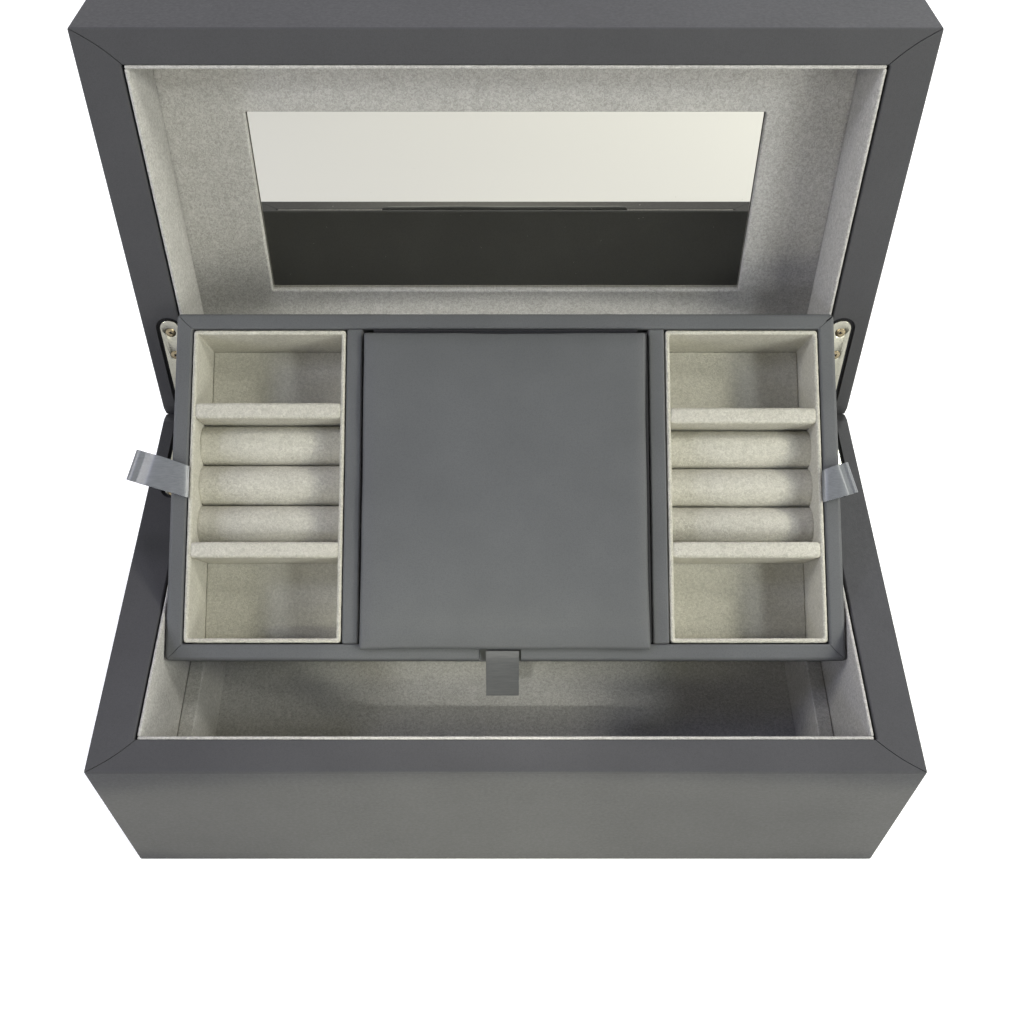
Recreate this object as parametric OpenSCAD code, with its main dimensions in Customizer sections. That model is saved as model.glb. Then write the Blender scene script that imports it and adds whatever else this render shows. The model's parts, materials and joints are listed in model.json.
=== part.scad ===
// Tabletop jewelry box: a lined base, a mirror lid that stands open on its back edges, and a
// lift-out ring tray that is propped up between the base's ledges and the lid.
// Origin: centre of the base's underside. +X right, +Y back, +Z up.

/* [Box] */
// Outer width of base and lid
box_w = 300; // [260:1:360]
// Outer depth of base and lid, front to back
box_d = 172; // [160:1:200]
// Height of the base up to its rim
base_h = 84; // [78:0.5:110]
// Height of the lid from its rim to the top board
lid_h = 40; // [38:0.5:60]
// Gap between the two rims when the lid is closed
rim_gap = 0.3; // [0.2:0.05:0.6]
// Thickness of the side walls, base and lid
side_wall = 16.5; // [14:0.1:20]
// Thickness of the front wall, base and lid
front_wall = 13.2; // [10:0.1:18]
// Thickness of the back wall, base and lid
back_wall = 16.5; // [14:0.1:20]
// Thickness of the bottom board and of the lid's top board
board_t = 3; // [2:0.1:5]
// Thickness of the felt under the base
felt_t = 1; // [0.5:0.1:2]
// How far the felt stays inside the base's outline
felt_inset = 4; // [2:0.5:10]

/* [Lining] */
// Thickness of the suede-covered lining panels
lining_t = 1.2; // [0.8:0.1:2]
// Thickness of the padded floor of the base
floor_pad_t = 2; // [1:0.1:4]
// Width of the side ledges that carry the tray
ledge_w = 7; // [5:0.5:12]
// How far the ledges' tops lie under the rim
ledge_drop = 42.6; // [41:0.1:50]

/* [Lid] */
// Angle that the lid stands open at
lid_open = 99; // [92:0.5:104]
// Depth of the lid's hollow, from the rim to the mirror panel
lid_hollow = 29; // [20:0.5:34]
// Thickness of the suede panel around the mirror
panel_t = 4; // [2:0.1:5]
// Thickness of the mirror glass
mirror_t = 2; // [1:0.1:3]
// Width of the panel beside the mirror, from the lining
mirror_side_margin = 31.9; // [15:0.1:60]
// Width of the panel above and below the mirror, from the lining
mirror_end_margin = 29.9; // [15:0.1:50]
// How far the panel laps over the glass
mirror_lap = 3; // [2:0.5:6]
// Height of the crowned cover on the lid's top
top_pad_t = 2.6; // [1:0.1:5]
// How far the crowned cover stays inside the lid's outline
top_pad_inset = 3; // [1:0.5:10]

/* [Hinge] */
// Distance of the hinge axis from the back face
axis_inset = 2.2; // [2:0.1:3]
// Depth, front to back, of the bevel on the rims' back edges
bevel_d = 6.6; // [5.8:0.1:8]
// Width of a hinge leaf
leaf_w = 8; // [7:0.5:11]
// Thickness of a hinge leaf
leaf_t = 1.4; // [1:0.1:2]
// Distance of a leaf's middle from the box's side
leaf_side = 11; // [8:0.1:12]
// Length of the base's leaves, from the hinge axis
base_leaf_l = 45; // [38:0.5:60]
// Length of the lid's leaves, from the hinge axis
lid_leaf_l = 49; // [46:0.5:60]
// Clearance around a leaf in its recess
leaf_gap = 0.3; // [0.2:0.05:0.6]
// Radius of the hinge knuckles
knuckle_r = 2; // [1.8:0.05:2.1]
// Gap between neighbouring knuckles
knuckle_gap = 0.3; // [0.2:0.05:0.5]
// Width of each leaf's outer knuckles
outer_knuckle_w = 2; // [1.5:0.1:2.4]
// Radius of the hinge pins
pin_r = 0.9; // [0.7:0.05:1]
// Running clearance of the lid's knuckles on the pins
pin_gap = 0.05; // [0.03:0.01:0.1]
// Distance of the near screws from the hinge axis
near_screw_at = 31.6; // [20:0.1:34]
// Distance of the far screws from the hinge axis
far_screw_at = 43; // [40:0.1:44]
// Radius of the countersunk screw heads
screw_head_r = 2.3; // [1.8:0.1:2.8]
// Radius of the screw shanks
screw_r = 1; // [0.8:0.1:1.3]
// Length of the screws
screw_l = 9; // [6:0.5:12]

/* [Tray] */
// Clearance beside the tray when it lies flat between the side linings
tray_side_gap = 0.8; // [0.5:0.05:1.5]
// Clearance before and behind the tray when it lies flat
tray_end_gap = 0.95; // [0.5:0.05:1.5]
// Height of the tray
tray_h = 39.6; // [36:0.1:44]
// Angle that the tray is propped at
tray_tilt = 29.4; // [28:0.1:30]
// Gap between the tray's lower front edge and the ledges
tray_seat = 0.3; // [0.2:0.05:0.6]
// Gap between the tray's underside and the edge of the lid's lining that it leans on
tray_lean = 0.2; // [0.2:0.05:0.6]
// Width of the tray's rails
rail_w = 6.4; // [5:0.1:9]
// Width of the two dividers
divider_w = 6.4; // [5:0.1:9]
// Clear width of the centre compartment
centre_w = 113.8; // [90:0.1:130]
// Thickness of the tray's bottom board
tray_board_t = 2.4; // [1.5:0.1:4]
// Width of the notch in the front rail
notch_w = 18.2; // [15:0.1:30]
// Depth of the notch in the front rail
notch_h = 3; // [2:0.1:6]
// Place of the notch and the pull tab, left to right
notch_x = -1.2; // [-20:0.1:20]

/* [Liners] */
// Thickness of the liners' walls
liner_t = 2.2; // [1.5:0.1:3]
// How far the liners' edges lie under the tray's top
liner_drop = 0.3; // [0.1:0.1:2]
// Depth of the side compartments
cell_h = 27; // [20:0.5:30]
// Width of the bars across the side liners
bar_w = 6.4; // [4:0.1:8]
// Middle of the front bars, from the tray's front
front_bar_at = 43; // [38:0.1:48]
// Middle of the left liner's rear bar
left_rear_bar_at = 98.5; // [92:0.1:104]
// Middle of the right liner's rear bar
right_rear_bar_at = 96.5; // [92:0.1:104]
// Number of ring rolls in each side liner
roll_count = 3; // [2:1:4]
// How far the rolls' crests lie under the tray's top
roll_drop = 9; // [6:0.5:12]
// Gap between neighbouring rolls
roll_gap = 0.2; // [0.1:0.05:0.5]
// How far the centre liner's edge lies under the tray's top
centre_drop = 3.2; // [3:0.1:5]
// Thickness of the centre liner's floor
centre_floor_t = 2; // [1:0.1:4]

/* [Centre lid] */
// Clearance beside the centre lid
centre_lid_gap = 0.4; // [0.2:0.05:1]
// Thickness of the centre lid's board
lid_board_t = 2; // [1.5:0.1:2.4]
// Thickness of the suede under the board
lid_suede_t = 0.5; // [0.3:0.1:0.8]
// Thickness of the padded cover
centre_pad_t = 3.6; // [2:0.1:6]
// Rounding of the padded cover's top edges
centre_pad_soft = 3; // [1:0.1:6]
// How far the padded cover laps over the front rail
centre_lap = 2.3; // [1:0.1:4]
// How far the suede stays inside the board's edges
suede_inset = 1; // [0.5:0.1:3]
// Distance of the centre lid's hinge line from the back rail
tape_set = 0.9; // [0.8:0.1:2]
// Radius of the hinge tape's roll
tape_r = 0.6; // [0.4:0.05:0.7]
// Length of the tape under the padded cover
tape_l = 14; // [8:1:30]
// How far the tape's ends stay inside the board's sides
tape_inset = 4; // [1:0.5:20]
// Distance of the pad's back edge from the hinge line
pad_back_set = 1.2; // [1:0.1:3]

/* [Ribbons] */
// Width of the ribbon loops and the pull tab
ribbon_w = 12.8; // [8:0.1:14]
// Thickness of a ribbon
ribbon_t = 0.6; // [0.4:0.1:1]
// How far the left loop reaches out from its seam
left_loop_l = 23; // [12:0.5:30]
// How far the right loop reaches out from its seam
right_loop_l = 13; // [10:0.5:30]
// Thickness of a loop at its rounded end
loop_end_t = 3; // [2:0.1:4]
// Gap between the loops and the rails under them
loop_gap = 0.3; // [0.2:0.05:0.6]
// Place of the loops along the tray
loop_at = 71; // [50:0.5:90]
// Gap between the pull tab and the padded cover's front edge
tab_gap = 0.3; // [0.2:0.05:0.6]
// Length of the pull tab's end glued under the padded cover
tab_seam_l = 10; // [5:0.5:20]
// Length of the pull tab's flat part in front of the tray
tab_flat_l = 5; // [2:0.5:12]
// Length of the pull tab's hanging end
tab_drop_l = 12; // [6:0.5:20]
// Angle that the pull tab's end droops by
tab_droop = 55; // [20:1:80]

/* [Hidden] */
$fn = 64;
// How far a cut runs past what it cuts
over = 1;
side_x = box_w / 2;
back_y = box_d / 2;
front_y = -box_d / 2;
in_x = side_x - side_wall;
in_front_y = front_y + front_wall;
in_back_y = back_y - back_wall;
lined_x = in_x - lining_t;
lined_front_y = in_front_y + lining_t;
lined_back_y = in_back_y - lining_t;
floor_z = felt_t + board_t;
pad_z = floor_z + floor_pad_t;
ledge_z = base_h - ledge_drop;
axis_y = back_y - axis_inset;
axis_z = base_h + rim_gap / 2;
lid_z = base_h + rim_gap;
lid_top_z = lid_z + lid_h;
panel_z = lid_z + lid_hollow;
glass_z = panel_z + panel_t;
backing_z = glass_z + mirror_t;
top_board_z = lid_top_z - board_t;
// The lid's and the base's back edges meet when the lid stands open
bevel_h = axis_inset * tan(lid_open / 2);
mirror_x = lined_x - mirror_side_margin;
mirror_front_y = lined_front_y + mirror_end_margin;
mirror_back_y = lined_back_y - mirror_end_margin;
leaf_x = side_x - leaf_side;
screw_at = [near_screw_at, far_screw_at];
mid_knuckle_w = leaf_w - 2 * outer_knuckle_w - 2 * knuckle_gap;
groove_r = knuckle_r + leaf_gap;
tray_x = lined_x - tray_side_gap;
tray_d = lined_back_y - lined_front_y - 2 * tray_end_gap;
// The tray's underside rests on the ledges and on the front edge of the open lid's back lining
lean_in = axis_y - lined_back_y;
lean_y = axis_y - lean_in * cos(lid_open) + rim_gap / 2 * sin(lid_open);
lean_z = axis_z + lean_in * sin(lid_open) + rim_gap / 2 * cos(lid_open);
tray_front_z = ledge_z + tray_seat;
tray_front_y = lean_y - (lean_z + tray_lean / cos(tray_tilt) - tray_front_z) / tan(tray_tilt);
tray_in_x = tray_x - rail_w;
centre_x = centre_w / 2;
liner_x = centre_x + divider_w;
tray_in_front = rail_w;
tray_in_back = tray_d - rail_w;
liner_top = tray_h - liner_drop;
cell_floor = tray_h - cell_h;
centre_top = tray_h - centre_drop;
bar_top = liner_top;
cell_front = tray_in_front + liner_t;
cell_back = tray_in_back - liner_t;
roll_crest = tray_h - roll_drop;
hinge_v = tray_in_back - tape_set;
hinge_w = tray_h;
// The tape and the pull tab's end are glued between the board and the padded cover
lid_board_z = hinge_w - ribbon_t / 2 - lid_board_t;
pad_bottom = hinge_w + ribbon_t / 2;
pad_front = tray_in_front - centre_lap;
lid_half_x = centre_x - centre_lid_gap;
board_front = tray_in_front + centre_lid_gap;
tab_root = pad_front - tab_gap - ribbon_t / 2;

// Placing

// A box between two corners
module span(low, high) {
    translate(low) cube(high - low);
}

// Puts what is drawn for the closed lid at the lid's open angle
module in_lid() {
    translate([0, axis_y, axis_z]) rotate([-lid_open, 0, 0]) translate([0, -axis_y, -axis_z])
        children();
}

// Puts what is drawn flat, from the tray's lower front edge, at the tray's propped place
module in_tray() {
    translate([0, tray_front_y, tray_front_z]) rotate([tray_tilt, 0, 0]) children();
}

// Copies its children to the left and the right hinge
module at_side(side) {
    translate([side * leaf_x, axis_y, axis_z]) children();
}

// Hinges, drawn around the hinge axis for the base; the lid's are mirrored in the rim's plane

module x_cylinder(r, l) {
    rotate([0, 90, 0]) cylinder(r = r, h = l, center = true);
}

// Plan of a leaf: from the axis forward, with a round end
module leaf_plan(l, grow) {
    hw = leaf_w / 2 + grow;
    union() {
        translate([-hw, -l + leaf_w / 2]) square([2 * hw, l - leaf_w / 2]);
        translate([0, -l + leaf_w / 2]) circle(r = hw);
    }
}

// Recess in the walls for a leaf and the knuckles, up is +1 for the base, -1 for the lid
module leaf_recess(l, up) {
    top = -up * rim_gap / 2;
    for (side = [-1, 1]) at_side(side) {
        translate([0, 0, up > 0 ? top - leaf_t : top - over])
            linear_extrude(leaf_t + over) leaf_plan(l, leaf_gap);
        x_cylinder(groove_r, leaf_w + 2 * leaf_gap);
    }
}

// Holes for the screws in a wall
module screw_pilots(up) {
    for (side = [-1, 1], s = screw_at) at_side(side)
        translate([0, -s, -up * (rim_gap / 2 + screw_l / 2)])
            cylinder(r = screw_r, h = screw_l, center = true);
}

module screws(up) {
    for (side = [-1, 1], s = screw_at) at_side(side)
        translate([0, -s, -up * rim_gap / 2]) mirror([0, 0, up > 0 ? 0 : 1]) screw();
}

// Countersunk screw, head flush with z = 0
module screw() {
    color([0.72, 0.62, 0.45]) union() {
        translate([0, 0, -leaf_t]) cylinder(r1 = screw_r, r2 = screw_head_r, h = leaf_t);
        translate([0, 0, -screw_l]) cylinder(r = screw_r, h = screw_l - leaf_t);
    }
}

// A leaf, with its own knuckles and room for the other leaf's
module leaf(l, up, own_outer) {
    outer_x = leaf_w / 2 - outer_knuckle_w / 2;
    color([0.75, 0.75, 0.75]) difference() {
        union() {
            difference() {
                translate([0, 0, up > 0 ? -rim_gap / 2 - leaf_t : rim_gap / 2])
                    linear_extrude(leaf_t) leaf_plan(l, 0);
                if (own_outer) x_cylinder(groove_r, mid_knuckle_w + 2 * knuckle_gap);
                else for (s = [-1, 1]) translate([s * (outer_x + over / 2), 0, 0])
                    x_cylinder(groove_r, outer_knuckle_w + 2 * knuckle_gap + over);
            }
            if (own_outer) for (s = [-1, 1]) translate([s * outer_x, 0, 0])
                x_cylinder(knuckle_r, outer_knuckle_w);
            else x_cylinder(knuckle_r, mid_knuckle_w);
        }
        x_cylinder(own_outer ? pin_r : pin_r + pin_gap, leaf_w + 2 * over);
        for (s = screw_at) translate([0, -s, -up * rim_gap / 2])
            mirror([0, 0, up > 0 ? 0 : 1]) translate([0, 0, -leaf_t]) {
                cylinder(r1 = screw_r, r2 = screw_head_r, h = leaf_t);
            }
    }
}

// Wedge that bevels the back edge of a rim, up is +1 for the base, -1 for the lid
module rim_bevel(up) {
    z = up > 0 ? base_h : lid_z;
    rise = bevel_h - rim_gap / 2;
    slope = rise / bevel_d;
    translate([-side_x - over, 0, 0]) rotate([90, 0, 90]) linear_extrude(box_w + 2 * over)
        polygon([[back_y - bevel_d, z], [back_y + over, z - up * slope * (bevel_d + over)],
                 [back_y + over, z + up * over], [back_y - bevel_d, z + up * over]]);
}

// Walls

// Plan of one wall of the mitred frame
module wall_plan(which) {
    if (which == "front") polygon([[-side_x, front_y], [side_x, front_y],
        [in_x, in_front_y], [-in_x, in_front_y]]);
    if (which == "back") polygon([[-side_x, back_y], [-in_x, in_back_y],
        [in_x, in_back_y], [side_x, back_y]]);
    if (which == "left") polygon([[-side_x, front_y], [-in_x, in_front_y],
        [-in_x, in_back_y], [-side_x, back_y]]);
    if (which == "right") polygon([[side_x, front_y], [side_x, back_y],
        [in_x, in_back_y], [in_x, in_front_y]]);
}

module base_wall(which) {
    color([0.36, 0.37, 0.37]) difference() {
        translate([0, 0, felt_t]) linear_extrude(base_h - felt_t) wall_plan(which);
        if (which != "front") {
            rim_bevel(1);
            leaf_recess(base_leaf_l, 1);
            screw_pilots(1);
        }
    }
}

module lid_wall(which) {
    color([0.36, 0.37, 0.37]) in_lid() difference() {
        translate([0, 0, lid_z]) linear_extrude(lid_h) wall_plan(which);
        if (which != "front") {
            rim_bevel(-1);
            leaf_recess(lid_leaf_l, -1);
            screw_pilots(-1);
        }
    }
}

module base_front_wall() { base_wall("front"); }
module base_back_wall() { base_wall("back"); }
module base_left_wall() { base_wall("left"); }
module base_right_wall() { base_wall("right"); }
module lid_front_wall() { lid_wall("front"); }
module lid_back_wall() { lid_wall("back"); }
module lid_left_wall() { lid_wall("left"); }
module lid_right_wall() { lid_wall("right"); }

// Linings

// One lining panel between two heights; side panels run between the front and the back one
module lining(which, low, high) {
    color([0.62, 0.59, 0.55]) {
        if (which == "front") span([-in_x, in_front_y, low], [in_x, lined_front_y, high]);
        if (which == "back") span([-in_x, lined_back_y, low], [in_x, in_back_y, high]);
        if (which == "left") span([-in_x, lined_front_y, low], [-lined_x, lined_back_y, high]);
        if (which == "right") span([lined_x, lined_front_y, low], [in_x, lined_back_y, high]);
    }
}

module base_lining(which) { lining(which, floor_z, base_h); }
module lid_lining(which) { in_lid() lining(which, lid_z, panel_z); }

module base_front_lining() { base_lining("front"); }
module base_back_lining() { base_lining("back"); }
module base_left_lining() { base_lining("left"); }
module base_right_lining() { base_lining("right"); }
module lid_front_lining() { lid_lining("front"); }
module lid_back_lining() { lid_lining("back"); }
module lid_left_lining() { lid_lining("left"); }
module lid_right_lining() { lid_lining("right"); }

// Base

module base_bottom_board() {
    color([0.55, 0.45, 0.35])
        span([-in_x, in_front_y, felt_t], [in_x, in_back_y, floor_z]);
}

module base_felt() {
    x = side_x - felt_inset;
    color([0.2, 0.2, 0.21])
        span([-x, front_y + felt_inset, 0], [x, back_y - felt_inset, felt_t]);
}

module base_floor_pad() {
    color([0.6, 0.57, 0.53])
        span([-lined_x, lined_front_y, floor_z], [lined_x, lined_back_y, pad_z]);
}

module ledge(side) {
    color([0.62, 0.59, 0.55]) mirror([side < 0 ? 1 : 0, 0, 0])
        span([lined_x - ledge_w, lined_front_y, pad_z], [lined_x, lined_back_y, ledge_z]);
}

module left_ledge() { ledge(-1); }
module right_ledge() { ledge(1); }

module base_left_hinge_leaf() { at_side(-1) leaf(base_leaf_l, 1, true); }
module base_right_hinge_leaf() { at_side(1) leaf(base_leaf_l, 1, true); }

module hinge_pins() {
    color([0.7, 0.7, 0.7]) for (side = [-1, 1]) at_side(side) x_cylinder(pin_r, leaf_w);
}

module base_hinge_screws() { screws(1); }

// Lid

module lid_top_board() {
    color([0.55, 0.45, 0.35]) in_lid()
        span([-in_x, in_front_y, top_board_z], [in_x, in_back_y, lid_top_z]);
}

module lid_top_pad() {
    x = side_x - top_pad_inset;
    y = back_y - top_pad_inset;
    crown = top_pad_t * 4;
    color([0.36, 0.37, 0.37]) in_lid() translate([0, 0, lid_top_z]) hull() {
        span([-x, -y, 0], [x, y, top_pad_t / 2]);
        span([-x + crown, -y + crown, 0], [x - crown, y - crown, top_pad_t]);
    }
}

module mirror_panel() {
    color([0.6, 0.57, 0.55]) in_lid() difference() {
        span([-in_x, in_front_y, panel_z], [in_x, in_back_y, glass_z]);
        span([-mirror_x, mirror_front_y, panel_z - over], [mirror_x, mirror_back_y, glass_z + over]);
    }
}

// Outline of the glass at the height z, with a thickness t
module glass_block(z, t) {
    span([-mirror_x - mirror_lap, mirror_front_y - mirror_lap, z],
         [mirror_x + mirror_lap, mirror_back_y + mirror_lap, z + t]);
}

module mirror_glass() {
    color([0.75, 0.78, 0.8]) in_lid() glass_block(glass_z, mirror_t);
}

module mirror_backing() {
    color([0.3, 0.3, 0.3]) in_lid() difference() {
        span([-in_x, in_front_y, glass_z], [in_x, in_back_y, top_board_z]);
        glass_block(glass_z - over, mirror_t + over);
    }
}

module lid_left_hinge_leaf() { in_lid() at_side(-1) leaf(lid_leaf_l, -1, false); }
module lid_right_hinge_leaf() { in_lid() at_side(1) leaf(lid_leaf_l, -1, false); }
module lid_hinge_screws() { in_lid() screws(-1); }

// Tray frame

module tray_rail_plan(which) {
    x = tray_x;
    ix = tray_in_x;
    if (which == "front") polygon([[-x, 0], [x, 0], [ix, tray_in_front], [-ix, tray_in_front]]);
    if (which == "back") polygon([[-x, tray_d], [-ix, tray_in_back], [ix, tray_in_back], [x, tray_d]]);
    if (which == "left") polygon([[-x, 0], [-ix, tray_in_front], [-ix, tray_in_back], [-x, tray_d]]);
    if (which == "right") polygon([[x, 0], [x, tray_d], [ix, tray_in_back], [ix, tray_in_front]]);
}

module tray_rail(which) {
    color([0.42, 0.42, 0.43]) in_tray() linear_extrude(tray_h) tray_rail_plan(which);
}

module tray_front_rail() {
    color([0.42, 0.42, 0.43]) in_tray() difference() {
        linear_extrude(tray_h) tray_rail_plan("front");
        span([notch_x - notch_w / 2, -over, tray_h - notch_h],
             [notch_x + notch_w / 2, rail_w + over, tray_h + over]);
    }
}

module tray_back_rail() { tray_rail("back"); }
module tray_left_rail() { tray_rail("left"); }
module tray_right_rail() { tray_rail("right"); }

module divider(side) {
    color([0.42, 0.42, 0.43]) in_tray() mirror([side < 0 ? 1 : 0, 0, 0])
        span([centre_x, tray_in_front, tray_board_t], [liner_x, tray_in_back, tray_h]);
}

module left_divider() { divider(-1); }
module right_divider() { divider(1); }

module tray_bottom_board() {
    color([0.55, 0.45, 0.35]) in_tray()
        span([-tray_in_x, tray_in_front, 0], [tray_in_x, tray_in_back, tray_board_t]);
}

// Liners

// Four thin walls around a compartment, from x0 to x1, up to the height top
module liner_walls(x0, x1, top) {
    color([0.66, 0.62, 0.57]) in_tray() difference() {
        span([x0, tray_in_front, tray_board_t], [x1, tray_in_back, top]);
        span([x0 + liner_t, cell_front, tray_board_t - over], [x1 - liner_t, cell_back, top + over]);
    }
}

// The floor inside a liner's walls, up to the height top
module liner_floor(x0, x1, top) {
    color([0.66, 0.62, 0.57]) in_tray()
        span([x0 + liner_t, cell_front, tray_board_t], [x1 - liner_t, cell_back, top]);
}

// The front and the rear bar across a side liner
module liner_bars(x0, x1, rear_at) {
    color([0.66, 0.62, 0.57]) in_tray() for (at = [front_bar_at, rear_at])
        span([x0 + liner_t, at - bar_w / 2, cell_floor], [x1 - liner_t, at + bar_w / 2, bar_top]);
}

// Side view of one ring roll, centred front to back
module roll_profile(w) {
    r = w / 2;
    translate([-r, cell_floor]) square([w, roll_crest - r - cell_floor]);
    translate([0, roll_crest - r]) circle(r = r);
}

// Round-topped rolls that fill the bay between the bars
module ring_rolls(x0, x1, rear_at) {
    first = front_bar_at + bar_w / 2;
    pitch = (rear_at - bar_w / 2 - first) / roll_count;
    color([0.68, 0.64, 0.59]) in_tray() for (i = [0:roll_count - 1])
        translate([x0 + liner_t, first + pitch * (i + 0.5), 0]) rotate([90, 0, 90])
            linear_extrude(x1 - x0 - 2 * liner_t) roll_profile(pitch - roll_gap);
}

module left_liner_walls() { liner_walls(-tray_in_x, -liner_x, liner_top); }
module left_liner_floor() { liner_floor(-tray_in_x, -liner_x, cell_floor); }
module left_liner_bars() { liner_bars(-tray_in_x, -liner_x, left_rear_bar_at); }
module left_ring_rolls() { ring_rolls(-tray_in_x, -liner_x, left_rear_bar_at); }
module right_liner_walls() { liner_walls(liner_x, tray_in_x, liner_top); }
module right_liner_floor() { liner_floor(liner_x, tray_in_x, cell_floor); }
module right_liner_bars() { liner_bars(liner_x, tray_in_x, right_rear_bar_at); }
module right_ring_rolls() { ring_rolls(liner_x, tray_in_x, right_rear_bar_at); }
module centre_liner_walls() { liner_walls(-centre_x, centre_x, centre_top); }
module centre_liner_floor() {
    liner_floor(-centre_x, centre_x, tray_board_t + centre_floor_t);
}

// Centre lid

module centre_lid_board() {
    color([0.55, 0.45, 0.35]) in_tray()
        span([-lid_half_x, board_front, lid_board_z],
             [lid_half_x, hinge_v - tape_r, lid_board_z + lid_board_t]);
}

module centre_lid_suede() {
    x = lid_half_x - suede_inset;
    color([0.66, 0.62, 0.57]) in_tray()
        span([-x, board_front + suede_inset, lid_board_z - lid_suede_t],
             [x, hinge_v - suede_inset, lid_board_z]);
}

module centre_lid_pad() {
    x = lid_half_x;
    back = hinge_v - pad_back_set;
    soft = centre_pad_soft;
    color([0.42, 0.42, 0.43]) in_tray() translate([0, 0, pad_bottom]) hull() {
        span([-x, pad_front, 0], [x, back, centre_pad_t * 0.6]);
        span([-x + soft, pad_front + soft, 0], [x - soft, back - soft, centre_pad_t]);
    }
}

// Tape between the board and the padded cover, rolled at the hinge line
module centre_hinge_tape() {
    x = lid_half_x - tape_inset;
    color([0.35, 0.35, 0.36]) in_tray() union() {
        translate([0, hinge_v, hinge_w]) x_cylinder(tape_r, 2 * x);
        span([-x, hinge_v - tape_l, hinge_w - ribbon_t / 2], [x, hinge_v, hinge_w + ribbon_t / 2]);
    }
}

// Ribbons

// Side view of a loop: one ribbon thick at its seam, round and hollow at its far end
module loop_profile(l) {
    r = loop_end_t / 2;
    difference() {
        union() {
            circle(d = ribbon_t);
            polygon([[0, -ribbon_t / 2], [l - r, -ribbon_t / 2],
                     [l - r, loop_end_t - ribbon_t / 2], [0, ribbon_t / 2]]);
            translate([l - r, r - ribbon_t / 2]) circle(r = r);
        }
        translate([l - r, r - ribbon_t / 2]) circle(r = r - ribbon_t);
    }
}

// A loop to lift the tray by, seamed between the rail and the liner
module ribbon_loop(side, l) {
    color([0.5, 0.52, 0.56]) in_tray() mirror([side < 0 ? 1 : 0, 0, 0])
        translate([tray_in_x, loop_at + ribbon_w / 2, tray_h + loop_gap + ribbon_t / 2])
            rotate([90, 0, 0]) linear_extrude(ribbon_w) loop_profile(l);
}

module left_ribbon_loop() { ribbon_loop(-1, left_loop_l); }
module right_ribbon_loop() { ribbon_loop(1, right_loop_l); }

// The pull tab's end, glued between the board and the padded cover
module pull_tab_seam() {
    color([0.55, 0.56, 0.58]) in_tray()
        span([notch_x - ribbon_w / 2, board_front, hinge_w - ribbon_t / 2],
             [notch_x + ribbon_w / 2, board_front + tab_seam_l, hinge_w + ribbon_t / 2]);
}

// Side view of the pull tab: flat through the notch, then drooping
module tab_profile() {
    translate([tab_root, 0]) circle(d = ribbon_t);
    translate([-tab_flat_l, -ribbon_t / 2]) square([tab_root + tab_flat_l, ribbon_t]);
    translate([-tab_flat_l, 0]) circle(d = ribbon_t);
    translate([-tab_flat_l, 0]) rotate([0, 0, 180 + tab_droop])
        translate([0, -ribbon_t / 2]) square([tab_drop_l, ribbon_t]);
}

module pull_tab() {
    color([0.55, 0.56, 0.58]) in_tray() translate([notch_x - ribbon_w / 2, 0, hinge_w])
        rotate([90, 0, 90]) linear_extrude(ribbon_w) tab_profile();
}

base_front_wall();
base_back_wall();
base_left_wall();
base_right_wall();
base_bottom_board();
base_felt();
base_floor_pad();
base_front_lining();
base_back_lining();
base_left_lining();
base_right_lining();
left_ledge();
right_ledge();
base_left_hinge_leaf();
base_right_hinge_leaf();
hinge_pins();
base_hinge_screws();
lid_front_wall();
lid_back_wall();
lid_left_wall();
lid_right_wall();
lid_top_board();
lid_top_pad();
lid_front_lining();
lid_back_lining();
lid_left_lining();
lid_right_lining();
mirror_panel();
mirror_glass();
mirror_backing();
lid_left_hinge_leaf();
lid_right_hinge_leaf();
lid_hinge_screws();
tray_front_rail();
tray_back_rail();
tray_left_rail();
tray_right_rail();
left_divider();
right_divider();
tray_bottom_board();
left_liner_walls();
left_liner_floor();
left_liner_bars();
left_ring_rolls();
right_liner_walls();
right_liner_floor();
right_liner_bars();
right_ring_rolls();
centre_liner_walls();
centre_liner_floor();
centre_lid_board();
centre_lid_pad();
centre_lid_suede();
centre_hinge_tape();
left_ribbon_loop();
right_ribbon_loop();
pull_tab_seam();
pull_tab();
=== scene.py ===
"""Looks for the tabletop jewelry box: wrapped leatherette cases, suede linings and liners, satin ribbons."""

import json
import math

import bmesh
import bpy
from mathutils import Matrix, Vector, noise

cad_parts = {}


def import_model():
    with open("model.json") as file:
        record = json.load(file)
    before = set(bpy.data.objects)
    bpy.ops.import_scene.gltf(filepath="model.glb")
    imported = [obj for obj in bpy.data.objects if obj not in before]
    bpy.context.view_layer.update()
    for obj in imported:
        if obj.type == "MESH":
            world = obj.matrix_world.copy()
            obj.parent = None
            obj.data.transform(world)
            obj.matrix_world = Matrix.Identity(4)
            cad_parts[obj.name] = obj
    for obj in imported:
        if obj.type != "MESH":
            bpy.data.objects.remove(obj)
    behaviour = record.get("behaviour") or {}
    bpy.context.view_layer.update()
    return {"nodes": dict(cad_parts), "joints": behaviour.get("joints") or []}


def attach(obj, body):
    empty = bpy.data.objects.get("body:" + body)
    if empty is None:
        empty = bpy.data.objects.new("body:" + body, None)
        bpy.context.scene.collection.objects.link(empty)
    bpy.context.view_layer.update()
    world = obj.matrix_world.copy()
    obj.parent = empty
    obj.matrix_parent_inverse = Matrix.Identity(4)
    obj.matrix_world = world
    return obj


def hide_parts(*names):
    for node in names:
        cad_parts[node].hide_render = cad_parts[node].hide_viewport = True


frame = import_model()

# Cloth is uneven in the same way on each run
noise.seed_set(1)

MM = 0.001
SHARP = math.radians(40)
JOINTS = {joint["name"]: joint for joint in frame["joints"]}
SIDES = ("left", "right")
WALLS = ("front", "back", "left", "right")

# ---------------------------------------------------------------- places


def box_of(points):
    """Lowest and highest corner of the box round these points."""
    return [Vector(pick(p[i] for p in points) for i in range(3)) for pick in (min, max)]


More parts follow.
